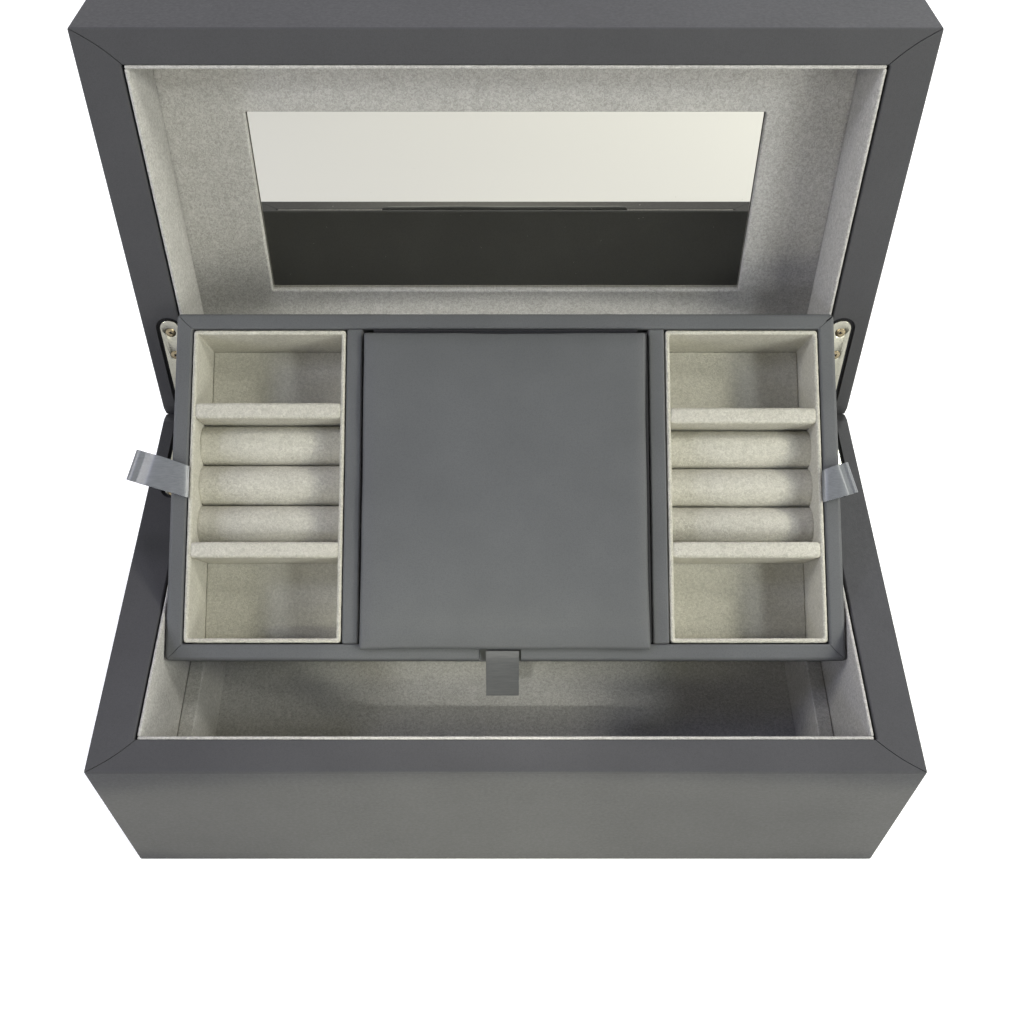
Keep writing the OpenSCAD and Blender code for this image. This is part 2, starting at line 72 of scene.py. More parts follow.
class Place:
    """A body and the axes its pieces are drawn in, by the matrix that takes them to the row frame."""

    def __init__(self, body, matrix):
        self.body = body
        self.matrix = matrix
        self.inverse = matrix.inverted()

    def points(self, *nodes):
        """All corners of these CAD nodes along this place's axes."""
        return [self.inverse @ v.co for n in nodes for v in frame["nodes"][n].data.vertices]

    def extent(self, *nodes):
        return box_of(self.points(*nodes))

    def rim(self):
        """The height of the rim in the axes of the base or the upturned lid."""
        return self.extent(f"{self.body}_left_wall")[1].z


def closed_lid_place():
    """The lid's own axes are the row's while it is closed."""
    hinge = JOINTS["lid_hinge"]
    pivot = Matrix.Translation(Vector(hinge["pos_m"]))
    closing = Matrix.Rotation(math.radians(hinge["range_deg"][0]), 4, Vector(hinge["axis"]))
    return Place("lid", (pivot @ closing @ pivot.inverted()).inverted())


def tray_place():
    """X, the tray's depth and its height, from its lower front edge."""
    across = Vector((1, 0, 0))
    depth = Vector(JOINTS["left_loop_swing"]["axis"]).normalized()
    turn = Matrix((across, depth, across.cross(depth))).transposed().to_4x4()
    low = Place("tray", turn).extent("tray_front_rail")[0]
    return Place("tray", turn @ Matrix.Translation((0, low.y, low.z)))


BASE = Place("base", Matrix.Identity(4))
LID = closed_lid_place()
# The lid upside down, so that its rim is up as the base's is
UPTURNED_LID = Place("lid", LID.matrix @ Matrix.Scale(-1, 4, (0, 0, 1)))
TRAY = tray_place()
CENTRE_LID = Place("centre_lid", TRAY.matrix)

# ---------------------------------------------------------------- materials


def feed(tree, socket, value):
    """Gives an input socket a value, or links another node's output to it."""
    if isinstance(value, bpy.types.NodeSocket):
        tree.links.new(value, socket)
    else:
        socket.default_value = value


def math_node(tree, operation, a, b):
    """A value worked out from two numbers or sockets."""
    node = tree.nodes.new("ShaderNodeMath")
    node.operation = operation
    feed(tree, node.inputs[0], a)
    feed(tree, node.inputs[1], b)
    return node.outputs["Value"]


class Paint:
    """A Principled material whose colour, roughness and bump come from procedural nodes."""

    def __init__(self, name, **values):
        self.material = bpy.data.materials.new(name)
        self.material.use_nodes = True
        self.tree = self.material.node_tree
        self.shader = self.tree.nodes["Principled BSDF"]
        self.place = self.node("TexCoord").outputs["Object"]
        self.fill(self.shader, values)

    def fill(self, node, values):
        """Feeds a node's inputs by name, with _ for a space."""
        for key, value in values.items():
            feed(self.tree, node.inputs[key.replace("_", " ")], value)

    def node(self, kind, **values):
        node = self.tree.nodes.new(f"ShaderNode{kind}")
        self.fill(node, values)
        return node

    def stretched(self, scale):
        """Object coordinates scaled by a different amount along each axis."""
        return self.node("Mapping", Scale=scale, Vector=self.place).outputs["Vector"]

    def noise(self, size, detail=3.0, rough=0.55, place=None, warp=0.0):
        """Noise whose features are about this many metres across."""
        node = self.node("TexNoise", Scale=1 / size, Detail=detail, Roughness=rough, Distortion=warp,
                         Vector=place or self.place)
        return node.outputs["Fac"]

    def cells(self, size):
        """Distance to the middle of cells of this many metres."""
        return self.node("TexVoronoi", Scale=1 / size, Vector=self.place).outputs["Distance"]

    def waves(self, size, axis, warp):
        """Parallel threads, this many metres apart, across one axis."""
        node = self.node("TexWave", Scale=1 / size / math.pi, Distortion=warp, Vector=self.place)
        node.bands_direction = axis
        return node.outputs["Fac"]

    def spread(self, value, low, high, start=0.0, end=1.0):
        """Maps a value that runs from start to end onto low to high."""
        node = self.node("MapRange", Value=value, From_Min=start, From_Max=end, To_Min=low, To_Max=high)
        return node.outputs["Result"]

    def mixed(self, factor, first, second):
        """A colour between two, which are colours or colour sockets."""
        node = self.node("Mix", Factor=factor)
        node.data_type = "RGBA"
        for at, value in ((6, first), (7, second)):
            feed(self.tree, node.inputs[at], (*value, 1) if isinstance(value, tuple) else value)
        return node.outputs[2]

    def colour(self, socket):
        self.fill(self.shader, {"Base Color": socket})

    def roughness(self, socket):
        self.fill(self.shader, {"Roughness": socket})

    def bump(self, height, depth, strength):
        """Adds a bump of this many metres on top of the ones already there."""
        node = self.node("Bump", Strength=strength, Distance=depth, Height=height)
        for link in self.shader.inputs["Normal"].links:
            self.fill(node, {"Normal": link.from_socket})
        self.fill(self.shader, {"Normal": node.outputs["Normal"]})


def shade(colour, factor):
    return tuple(part * factor for part in colour)


def leatherette(name, colour):
    """Matte coated cloth: a very fine pebble grain and faint lighter and darker patches."""
    paint = Paint(name, Roughness=0.55, Specular_IOR_Level=0.2)
    patches = paint.noise(30 * MM, 2.0)
    tone = paint.mixed(paint.spread(patches, 0, 1, 0.3, 0.7), shade(colour, 0.94), shade(colour, 1.06))
    pores = paint.cells(0.42 * MM)
    paint.colour(paint.mixed(paint.spread(pores, 0, 0.22, 0.35, 0.75), tone, shade(colour, 0.55)))
    paint.roughness(paint.spread(paint.noise(1.3 * MM), 0.5, 0.64, 0.3, 0.7))
    paint.bump(pores, 0.05 * MM, 0.5)
    paint.bump(paint.noise(2.2 * MM), 0.06 * MM, 0.5)
    return paint.material


def suede(name, light, dark):
    """Short brushed nap: mottled where the fibres lean different ways, with a soft sheen."""
    paint = Paint(name, Roughness=0.95, Specular_IOR_Level=0.12, Sheen_Weight=0.1, Sheen_Roughness=0.45,
                  Sheen_Tint=(*light, 1))
    nap = paint.noise(1.0 * MM, 3.0, 0.65, warp=1.1)
    brushed = paint.noise(9 * MM, 2.0, 0.5, warp=1.2)
    fine, wide = paint.spread(nap, 0, 0.8, 0.39, 0.61), paint.spread(brushed, 0, 0.2, 0.3, 0.7)
    lean = math_node(paint.tree, "ADD", fine, wide)
    fibres = paint.noise(0.3 * MM, 2.0)
    tone = paint.mixed(lean, dark, light)
    paint.colour(paint.mixed(paint.spread(fibres, 0, 0.26, 0.45, 0.75), tone, shade(dark, 0.6)))
    paint.bump(fibres, 0.16 * MM, 0.8)
    paint.bump(nap, 0.34 * MM, 0.85)
    return paint.material


def satin(name, colour):
    """Satin ribbon: fine close threads with painted highlights on them and faint streaks along it, with a
    strong even gloss.
    """
    paint = Paint(name, Roughness=0.36, Specular_IOR_Level=0.65, Sheen_Weight=0.3, Sheen_Roughness=0.3,
                  Sheen_Tint=(0.8, 0.8, 1, 1))
    threads = paint.waves(0.28 * MM, "Y", 0.4)
    streaks = paint.noise(0.5 * MM, 3.0, place=paint.stretched((0.08, 1, 1)))
    fine = paint.noise(0.2 * MM, 2.0, place=paint.stretched((0.15, 1, 1)))
    tone = paint.mixed(paint.spread(streaks, 0, 1, 0.35, 0.65), shade(colour, 0.84), shade(colour, 1.16))
    # Where the threads and a fine noise peak together the colour is lighter: painted highlight of the
    # threads' sheen
    painted_thread_glint = math_node(paint.tree, "MULTIPLY", threads, fine)
    paint.colour(paint.mixed(painted_thread_glint, tone, shade(colour, 1.2)))
    paint.roughness(paint.spread(streaks, 0.28, 0.42, 0.3, 0.7))
    paint.bump(threads, 0.03 * MM, 0.4)
    paint.bump(streaks, 0.03 * MM, 0.4)
    return paint.material


def metal(name, colour, rough):
    """Plated steel with fine rolling lines and faint tarnish."""
    paint = Paint(name, Metallic=1.0, Roughness=rough)
    lines = paint.noise(3 * MM, 3.0, place=paint.stretched((1, 12, 12)))
    tarnish = paint.noise(4 * MM, 2.0)
    paint.colour(paint.mixed(paint.spread(tarnish, 0, 1, 0.35, 0.75), colour, shade(colour, 0.82)))
    paint.roughness(paint.spread(lines, rough * 0.8, rough * 1.3, 0.3, 0.7))
    paint.bump(lines, 0.01 * MM, 0.3)
    return paint.material


def mirror_silver():
    """Silvered glass with a few specks of dust."""
    paint = Paint("mirror_silver", Metallic=1.0, Roughness=0.01)
    specks = paint.spread(paint.cells(3.5 * MM), 1, 0, 0.0, 0.05)
    paint.colour(paint.mixed(specks, (0.56, 0.55, 0.5), (0.5, 0.49, 0.46)))
    paint.roughness(paint.spread(specks, 0.008, 0.5))
    return paint.material


def fibreboard():
    """Raw pressed board: short pale and dark fibres."""
    paint = Paint("fibreboard", Roughness=0.85, Specular_IOR_Level=0.2)
    fibres = paint.noise(1.2 * MM, 4.0, 0.65, warp=2.0)
    paint.colour(paint.mixed(fibres, (0.36, 0.27, 0.18), (0.56, 0.46, 0.34)))
    paint.bump(fibres, 0.1 * MM, 0.4)
    return paint.material


def dark_card(name, colour, size):
    """Black card or felt: a fine matted surface."""
    paint = Paint(name, Roughness=0.9, Specular_IOR_Level=0.15)
    matted = paint.noise(size, 4.0, 0.7, warp=1.5)
    paint.colour(paint.mixed(matted, shade(colour, 0.6), shade(colour, 1.5)))
    paint.bump(matted, size / 5, 0.6)
    return paint.material


# The case's leatherette is the same cloth as the tray's, given a much darker colour: painted shade for the
# weaker light on the case's rims and walls
SHADED_CASE_LEATHER = leatherette("shaded_case_leatherette", (0.056, 0.056, 0.059))
TRAY_LEATHER = leatherette("tray_leatherette", (0.100, 0.103, 0.106))
LINER_SUEDE = suede("liner_suede", (0.592, 0.576, 0.502), (0.425, 0.41, 0.351))
BASE_SUEDE = suede("base_suede", (0.545, 0.535, 0.508), (0.347, 0.337, 0.315))
SATIN = satin("satin_ribbon", (0.118, 0.125, 0.134))
# The pull tab is the loops' satin given a darker, greyer colour: painted shade for how the light falls on it
# where it hangs
SHADED_TAB_SATIN = satin("shaded_tab_satin", (0.098, 0.100, 0.101))
NICKEL = metal("nickel_plate", (0.44, 0.43, 0.36), 0.3)
BRASS = metal("screw_brass", (0.30, 0.25, 0.16), 0.2)
SILVER = mirror_silver()
BOARD = fibreboard()
CARD = dark_card("black_card", (0.030, 0.030, 0.032), 1.2 * MM)
FELT = dark_card("black_felt", (0.022, 0.022, 0.025), 0.6 * MM)

# ---------------------------------------------------------------- meshes


def scene_object(name, data):
    obj = bpy.data.objects.new(name, data)
    bpy.context.scene.collection.objects.link(obj)
    return obj


def mesh_object(name, points, faces):
    mesh = bpy.data.meshes.new(name)
    mesh.from_pydata([tuple(p) for p in points], [], faces)
    return scene_object(name, mesh)


def apply_modifiers(obj):
    bpy.context.view_layer.update()
    whole = obj.evaluated_get(bpy.context.evaluated_depsgraph_get())
    mesh = bpy.data.meshes.new_from_object(whole)
    obj.modifiers.clear()
    obj.data = mesh


def cut(obj, *tools):
    """Takes the tools' solids out of obj and deletes the tools."""
    for tool in tools:
        modifier = obj.modifiers.new("cut", "BOOLEAN")
        modifier.operation = "DIFFERENCE"
        modifier.solver = "EXACT"
        modifier.object = tool
    apply_modifiers(obj)
    for tool in tools:
        bpy.data.objects.remove(tool)


def grid_lines(low, high, r, band, middle):
    """Places of grid lines from low to high: band of them in each rounded edge, even between."""
    edge = [r * i / band for i in range(band)]
    span = high - low - 2 * r
    flat = [low + r + span * i / middle for i in range(middle + 1)]
    return [low + e for e in edge] + flat + [high - e for e in reversed(edge)]


def block(low, high, r, middles=(1, 1, 1), band=3, warp=None):
    """Points and faces of a box with round edges, in an even grid that warp may reshape."""
    lines = [grid_lines(low[i], high[i], r, band, middles[i]) for i in range(3)]
    last = [len(line) - 1 for line in lines]
    index, points, faces = {}, [], []

    def vertex(key):
        if key not in index:
            flat = Vector(lines[i][key[i]] for i in range(3))
            core = Vector(min(max(flat[i], low[i] + r), high[i] - r) for i in range(3))
            out = flat - core
            place = core + out.normalized() * r if out.length > 0 else flat
            index[key] = len(points)
            points.append(warp(place) if warp else place)
        return index[key]

    for axis in range(3):
        one, two = (axis + 1) % 3, (axis + 2) % 3
        for end in (0, last[axis]):
            for i in range(last[one]):
                for j in range(last[two]):
                    key = [0, 0, 0]
                    key[axis] = end
                    quad = []
                    for di, dj in ((0, 0), (1, 0), (1, 1), (0, 1)):
                        key[one], key[two] = i + di, j + dj
                        quad.append(vertex(tuple(key)))
                    faces.append(quad if end else quad[::-1])
    return points, faces


def outline(rect, r, corner, long_steps, deep_steps):
    """Points round a rectangle with round corners, anticlockwise from the front right corner."""
    x0, x1, y0, y1 = rect
    centres = [(x1 - r, y0 + r), (x1 - r, y1 - r), (x0 + r, y1 - r), (x0 + r, y0 + r)]
    points = []
    for i, (x, y) in enumerate(centres):
        start = math.radians(-90 + 90 * i)
        angles = [start + math.pi / 2 * k / corner for k in range(corner + 1)]
        arc = [Vector((x + r * math.cos(a), y + r * math.sin(a))) for a in angles]
        next_x, next_y = centres[(i + 1) % 4]
        end = Vector((next_x + r * math.cos(angles[-1]), next_y + r * math.sin(angles[-1])))
        steps = deep_steps if i % 2 == 0 else long_steps
        points += arc
        points += [arc[-1].lerp(end, k / steps) for k in range(1, steps)]
    return points


def inset(rect, amount):
    return (rect[0] + amount, rect[1] - amount, rect[2] + amount, rect[3] - amount)


def ring(outer, inner, bottom, top, lips, corners, steps=(1, 1), corner=4, base=0.0, warp=None):
    """A rectangular tube with round lips: lips and corners are the (outer, inner) radii."""
    arc = 4
    turns = [math.pi / 2 * k / arc for k in range(arc + 1)]
    loops = []
    if base:
        for t in turns:
            e = base * (1 - math.sin(t))
            loops.append((inset(outer, e), corners[0] - e, bottom + base * (1 - math.cos(t))))
    else:
        loops.append((outer, corners[0], bottom))
    for t in turns:
        e = lips[0] * (1 - math.cos(t))
        loops.append((inset(outer, e), corners[0] - e, top - lips[0] * (1 - math.sin(t))))
    for t in reversed(turns):
        e = lips[1] * (1 - math.cos(t))
        loops.append((inset(inner, -e), corners[1] + e, top - lips[1] * (1 - math.sin(t))))
    loops.append((inner, corners[1], bottom))
    points = []
    for rect, r, z in loops:
        for x, y in outline(rect, max(r, 0.02 * MM), corner, *steps):
            points.append(Vector((x, y, z)))
    if warp:
        points = [warp(p) for p in points]
    return points, joined_loops(len(loops), len(points) // len(loops), True)


def joined_loops(count, size, closed):
    """Faces between loops of the same size, and between the last and the first if closed."""
    faces = []
    for i in range(count if closed else count - 1):
        a, b = i * size, (i + 1) % count * size
        for j in range(size):
            k = (j + 1) % size
            faces.append((a + j, a + k, b + k, b + j))
    return faces


def prism(points, along):
    """Points and faces of a solid between a flat outline and its copy."""
    count = len(points)
    faces = [tuple(range(count)), tuple(range(2 * count - 1, count - 1, -1))]
    for i in range(count):
        j = (i + 1) % count
        faces.append((i, i + count, j + count, j))
    return [Vector(p) for p in points] + [Vector(p) + Vector(along) for p in points], faces


def tool(points, faces):
    """A cutting solid with its faces turned outward."""
    obj = mesh_object("tool", points, faces)
    shape = bmesh.new()
    shape.from_mesh(obj.data)
    bmesh.ops.recalc_face_normals(shape, faces=shape.faces)
    shape.to_mesh(obj.data)
    shape.free()
    return obj


def fuzzy(size, amount):
    """A warp that moves points a little, as cloth over board is never quite even."""
    return lambda p: p + noise.noise_vector(p / size) * amount


def surface(data, material):
    """One material, and smooth shading but for sharp edges."""
    data.materials.clear()
    data.materials.append(material)
    data.polygons.foreach_set("use_smooth", [True] * len(data.polygons))
    data.set_sharp_from_angle(angle=SHARP)


def dress(name, parts, place, material, slot, *nodes):
    """Makes the piece, puts it in place and lets it ride on its body in place of the CAD nodes."""
    obj = parts if isinstance(parts, bpy.types.Object) else mesh_object(name, *parts)
    obj.name = obj.data.name = name
    obj.data.transform(place.matrix)
    if place.matrix.determinant() < 0:
        obj.data.flip_normals()
    surface(obj.data, material)
    # Large flat faces stay evenly shaded beside their rounded edges
    even = obj.modifiers.new("even", "WEIGHTED_NORMAL")
    even.keep_sharp = True
    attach(obj, place.body)
    if nodes:
        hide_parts(*nodes)
    return obj


def paint_node(material, *names):
    """Gives CAD nodes that stay as they are their finished material."""
    for name in names:
        surface(frame["nodes"][name].data, material)


def rect_of(low, high):
    return (low.x, high.x, low.y, high.y)


# ---------------------------------------------------------------- leatherette cases

CASE_EDGE = 0.8 * MM
CASE_INNER_EDGE = 0.7 * MM
CASE_CORNER = 0.9 * MM
SEAM_WIDTH = 0.34 * MM
SEAM_DEPTH = 0.5 * MM
LINING_REVEAL = 0.8 * MM
LEAF_THICK = 1.4 * MM
LEAF_GAP = 1.6 * MM
LEAF_TURN = [math.pi * k / 16 for k in range(17)]
RIM_BEVEL = 6.6 * MM


def seam_tool(start, end, bow, top, width=SEAM_WIDTH, depth=SEAM_DEPTH):
    """A narrow V along a slightly bowed line on a flat rim at the height top."""
    steps = 8
    across = Vector((end.y - start.y, start.x - end.x)).normalized()
    points = []
    for i in range(steps + 1):
        t = i / steps
        middle = start.lerp(end, t) + across * bow * math.sin(math.pi * t)
        for side, z in ((-1, top + depth), (0, top - depth), (1, top + depth)):
            # The V is twice as wide above the rim, so it has the given width on it
            points.append(Vector((*(middle + across * width * side), z)))
    faces = joined_loops(steps + 1, 3, False)
    faces += [(2, 1, 0), tuple(len(points) - 3 + k for k in range(3))]
    return tool(points, faces)


def leaf_tools(place, leaves, hinge_axis, rim):
    """Recesses in a rim for the hinge leaves, and the rolls' groove along the hinge axis."""
    tools = []
    for leaf in leaves:
        low, high = place.extent(leaf)
        x = (low.x + high.x) / 2
        half = (high.x - low.x) / 2 + LEAF_GAP
        front = low.y + half - LEAF_GAP
        plan = [(x + half, hinge_axis.y), (x - half, hinge_axis.y)]
        plan += [(x - half * math.cos(t), front - half * math.sin(t)) for t in LEAF_TURN]
        floor = rim - LEAF_THICK
        tools.append(tool(*prism([(*p, floor) for p in plan], (0, 0, 2 * LEAF_THICK))))
        r = high.y - hinge_axis.y + LEAF_GAP
        circle = [2 * math.pi * k / 24 for k in range(24)]
        wheel = [(x - half, hinge_axis.y + r * math.cos(t), hinge_axis.z + r * math.sin(t)) for t in circle]
        tools.append(tool(*prism(wheel, (2 * half, 0, 0))))
    return tools


def bevel_tool(low, high, hinge_axis, open_half):
    """The wedge that the two rims' back edges lose, so that the open lid leans on the base."""
    back = high.y
    drop = high.z - hinge_axis.z + (back - hinge_axis.y) * math.tan(open_half)
    slope = drop / RIM_BEVEL
    over = 2 * MM
    side = low.x - over
    points = [(side, back - RIM_BEVEL, high.z), (side, back + over, high.z - slope * (RIM_BEVEL + over)),
              (side, back + over, high.z + over), (side, back - RIM_BEVEL, high.z + over)]
    return tool(*prism(points, (high.x - low.x + 2 * over, 0, 0)))


def leather_case(place):
    """The four walls of base or lid as one wrapped case, rim up, with mitre seams on its rim."""
    name = f"{place.body}_case"
    leaves = [f"{place.body}_{side}_hinge_leaf" for side in SIDES]
    walls = [f"{place.body}_{side}_wall" for side in WALLS]
    low, high = place.extent(*walls)
    inner_low, inner_high = place.extent(*[wall.replace("wall", "lining") for wall in walls])
    # The side linings stand a little off the walls, which leaves a dark line
    reveal = Vector((LINING_REVEAL, 0, 0))
    outer, inner = rect_of(low, high), rect_of(inner_low - reveal, inner_high + reveal)
    case = mesh_object(name, *ring(outer, inner, low.z, high.z, (CASE_EDGE, CASE_INNER_EDGE),
                                   (CASE_CORNER, 0.4 * MM), base=0.6 * MM))
    hinge = JOINTS["lid_hinge"]
    hinge_axis = place.inverse @ Vector(hinge["pos_m"])
    open_half = math.radians(abs(hinge["range_deg"][0]) / 2)
    tools = [bevel_tool(low, high, hinge_axis, open_half)]
    tools += leaf_tools(place, leaves, hinge_axis, high.z)
    for sx in (-1, 1):
        for y_out, y_in, bow in ((low.y, inner_low.y, 0.9), (high.y, inner_high.y, -0.4)):
            start = Vector((sx * inner_high.x, y_in))
            end = Vector((sx * high.x, y_out))
            tools.append(seam_tool(start, end, sx * bow * MM, high.z))
    cut(case, *tools)
    dress(name, case, place, SHADED_CASE_LEATHER, "leatherette", *walls)


leather_case(BASE)
leather_case(UPTURNED_LID)


def lid_top_cushion():
    """The lid's thinly padded leatherette top, crowned and tight at its edges."""
    low, high = LID.extent("lid_top_pad")
    middle, half = (low + high) / 2, (high - low) / 2
    edge = 1.15 * MM
    crown = high.z - low.z - 2 * edge

    def crowned(p):
        u, v = abs(p.x - middle.x) / half.x, abs(p.y - middle.y) / half.y
        lift = crown * (1 - u ** 8) * (1 - v ** 6) * (p.z - low.z) / (2 * edge)
        return p + Vector((0, 0, lift))

    flat_high = Vector((high.x, high.y, low.z + 2 * edge))
    parts = block(low, flat_high, edge, (40, 24, 1), 3, crowned)
    cushion = dress("lid_top_cushion", parts, LID, SHADED_CASE_LEATHER, "leatherette", "lid_top_pad")


lid_top_cushion()

# ---------------------------------------------------------------- suede linings and mirror

LINING_EDGE = 0.5 * MM
PANEL_JOINT = 0.2 * MM
# The opening's edge nearest the hinge lies this much lower on the open lid
OPENING_SHIFT = 0.7 * MM


def suede_panel(name, place, node, slot, edge=LINING_EDGE, gap=PANEL_JOINT, puff=0.0):
    """A card wrapped in suede, a hair smaller than its place, with soft uneven edges."""
    low, high = place.extent(node)
    size = high - low
    thin = 0 if size.x < size.y else 1
    inward = -1 if low[thin] > 0 else 1
    shrink = Vector((gap, gap, 0))
    if size[thin] < 4 * gap + 2 * edge:
        # A thin upright panel keeps its thickness
        shrink[thin] = 0
    steps = [max(1, round(s / (3 * MM))) for s in size]
    nap = fuzzy(1.6 * MM, 0.07 * MM)

    def padded(p):
        # Thin foam swells the face towards the middle, away from its rims
        if puff and (p[thin] - (low[thin] + high[thin]) / 2) * inward > 0:
            depth = min(high.z - p.z, p.z - low.z) / (2.2 * MM)
            p[thin] += inward * puff * (1 - math.exp(-max(depth, 0)))
        return nap(p)

    parts = block(low + shrink, high - shrink, min(edge, min(size) * 0.49), steps, 2, padded)
    return dress(name, parts, place, BASE_SUEDE, slot, node)


for place, slot, puff in ((BASE, "suede_base", 0.25 * MM), (UPTURNED_LID, "suede_warm", 0.9 * MM)):
    for side in WALLS:
        panel = f"{place.body}_{side}"
        suede_panel(f"{panel}_suede", place, f"{panel}_lining", slot, puff=puff)

for side in SIDES:
    suede_panel(f"{side}_ledge_suede", BASE, f"{side}_ledge", "suede_base", edge=0.7 * MM, gap=0.35 * MM)

suede_panel("base_floor_suede", BASE, "base_floor_pad", "suede_base", edge=0.8 * MM)


def mirror_surround():
    """The suede panel round the mirror: a wrapped board over a thinner one, with a line between."""
    low, high = LID.extent("mirror_panel")
    glass_low, glass_high = LID.extent("mirror_glass")
    lap = 3 * MM
    opening = inset(rect_of(glass_low, glass_high), lap)
    opening = (*opening[:3], opening[3] + OPENING_SHIFT)
    middle, half_line = low.z + (high.z - low.z) * 0.6, 0.1 * MM
    outer = inset(rect_of(low, high), PANEL_JOINT)
    steps = (60, 34)
    layers = (("mirror_surround_cover", low.z, middle - half_line, 0.8 * MM, 0.0),
              ("mirror_surround_board", middle + half_line, high.z, 0.5 * MM, 0.25 * MM))
    for name, z_low, z_high, lip, extra in layers:
        # Drawn rim up in the upturned lid, so heights change sign
        parts = ring(outer, inset(opening, -extra), -z_high, -z_low, (lip, lip), (1 * MM, 0.6 * MM), steps,
                     warp=fuzzy(1.6 * MM, 0.06 * MM))
        nodes = ["mirror_panel"] if name.endswith("cover") else []
        dress(name, parts, UPTURNED_LID, BASE_SUEDE, "suede_warm", *nodes)


mirror_surround()


def mirror():
    """The silvered glass, raised in its opening, with a ground edge."""
    low, high = LID.extent("mirror_glass")
    raised, lap = 1.7 * MM, 3.2 * MM
    front = low + Vector((lap, lap, -raised))
    parts = block(front, high - Vector((lap, lap - OPENING_SHIFT, 0)), 0.3 * MM, band=1)
    dress("mirror_silvered_glass", parts, LID, SILVER, "mirror", "mirror_glass")


mirror()

# ---------------------------------------------------------------- hinges and screws

KNUCKLE_R = 2 * MM
SCREW_R = 2.15 * MM
SEAT_R = 2.65 * MM
# Depths under the rim of the painted-shade disc in each countersink and of the painted-shade strip round a
# leaf
SEAT_DEEP = 0.33 * MM
STRIP_DEEP = 1.0 * MM
STRIP_THICK = 0.38 * MM


def lathe(profile, sides=32):
    """A solid turned about Z from (radius, height) points, the first and the last on the axis."""
    points = [Vector((0, 0, profile[0][1]))]
    for r, z in profile[1:-1]:
        turns = [2 * math.pi * k / sides for k in range(sides)]
        points += [Vector((r * math.cos(t), r * math.sin(t), z)) for t in turns]
    points.append(Vector((0, 0, profile[-1][1])))
    rows = len(profile) - 2
    faces = [(0, 1 + k, 1 + (k + 1) % sides) for k in range(sides)]
    faces += [tuple(1 + i for i in face) for face in joined_loops(rows, sides, False)]
    start, end = 1 + (rows - 1) * sides, len(points) - 1
    faces += [(start + (k + 1) % sides, start + k, end) for k in range(sides)]
    return points, faces


def moved(parts, matrix):
    points, faces = parts
    return [matrix @ p for p in points], faces


def collected(name, parts):
    """One object from several lots of points and faces."""
    points, faces = [], []
    for more, their_faces in parts:
        faces += [tuple(len(points) + i for i in face) for face in their_faces]
        points += more
    return mesh_object(name, points, faces)


def screw_spots(place, node):
    """Middles of the screw heads' tops, found from the tops of the CAD screws."""
    points = place.points(node)
    top = max(p.z for p in points)
    groups = []
    for p in points:
        if p.z < top - 0.01 * MM:
            continue
        near = [group for group in groups if (group[0] - p).length < 2 * SCREW_R + MM]
        if near:
            near[0].append(p)
        else:
            groups.append([p])
    spots = []
    for low, high in map(box_of, groups):
        spots.append(Vector(((low.x + high.x) / 2, (low.y + high.y) / 2, top)))
    return sorted(spots, key=lambda s: (round(s.x, 4), s.y))


def hinge_leaf(place, side, spots):
    """The stamped leaf with its knuckles, its edges broken and its holes countersunk."""
    node = f"{place.body}_{side}_hinge_leaf"
    name = f"{place.body}_{side}_leaf"
    data = frame["nodes"][node].data.copy()
    data.transform(place.inverse)
    if place.matrix.determinant() < 0:
        data.flip_normals()
    leaf = scene_object(name, data)
    low, high = place.extent(node)
    over, deep = 0.3 * MM, 0.8 * MM
    cone = lathe([(0, over), (SEAT_R + over, over), (1.6 * MM, -deep), (0, -deep)])
    near = [spot for spot in spots if low.x < spot.x < high.x]
    holes = [Matrix.Translation((spot.x, spot.y, place.rim())) for spot in near]
    cut(leaf, *[tool(*moved(cone, hole)) for hole in holes])
    rounding = leaf.modifiers.new("rounding", "BEVEL")
    rounding.width = 0.25 * MM
    rounding.limit_method = "ANGLE"
    rounding.angle_limit = math.radians(50)
    apply_modifiers(leaf)
    dress(name, leaf, place, NICKEL, "nickel", node)
    # A dark card disc sunk in each countersink round the screw head: painted shade for the hollow
    deep = 0.75 * MM
    seat = lathe([(0, -SEAT_DEEP), (2.2 * MM, -SEAT_DEEP), (1.7 * MM, -deep), (0, -deep)])
    seat_shades = collected(f"{name}_seats", [moved(seat, hole) for hole in holes])
    dress(f"{name}_seats", seat_shades, place, CARD, "backing")


def recess_shade_strip(place, side):
    """A black felt strip round a leaf, sunk below the leatherette: painted shade that makes the recess
    darker than its depth alone would.
    """
    low, high = place.extent(f"{place.body}_{side}_hinge_leaf")
    x, half = (low.x + high.x) / 2, (high.x - low.x) / 2
    front = low.y + half
    top = place.rim() - STRIP_DEEP
    floor = top - STRIP_THICK
    back = (place.inverse @ Vector(JOINTS["lid_hinge"]["pos_m"])).y - 2 * KNUCKLE_R
    path = [(Vector((x + half, back)), Vector((1, 0)))]
    for t in LEAF_TURN:
        way = Vector((math.cos(t), -math.sin(t)))
        path.append((Vector((x, front)) + way * half, way))
    path.append((Vector((x - half, back)), Vector((-1, 0))))
    points = []
    for edge, way in path:
        near, far = edge + way * 0.05 * MM, edge + way * (LEAF_GAP + 0.1 * MM)
        points += [Vector((*near, floor)), Vector((*near, top)), Vector((*far, top)), Vector((*far, floor))]
    faces = joined_loops(len(path), 4, False)
    faces += [(3, 2, 1, 0), tuple(len(points) - 4 + k for k in range(4))]
    dress(f"{place.body}_{side}_recess", tool(points, faces), place, FELT, "backing")


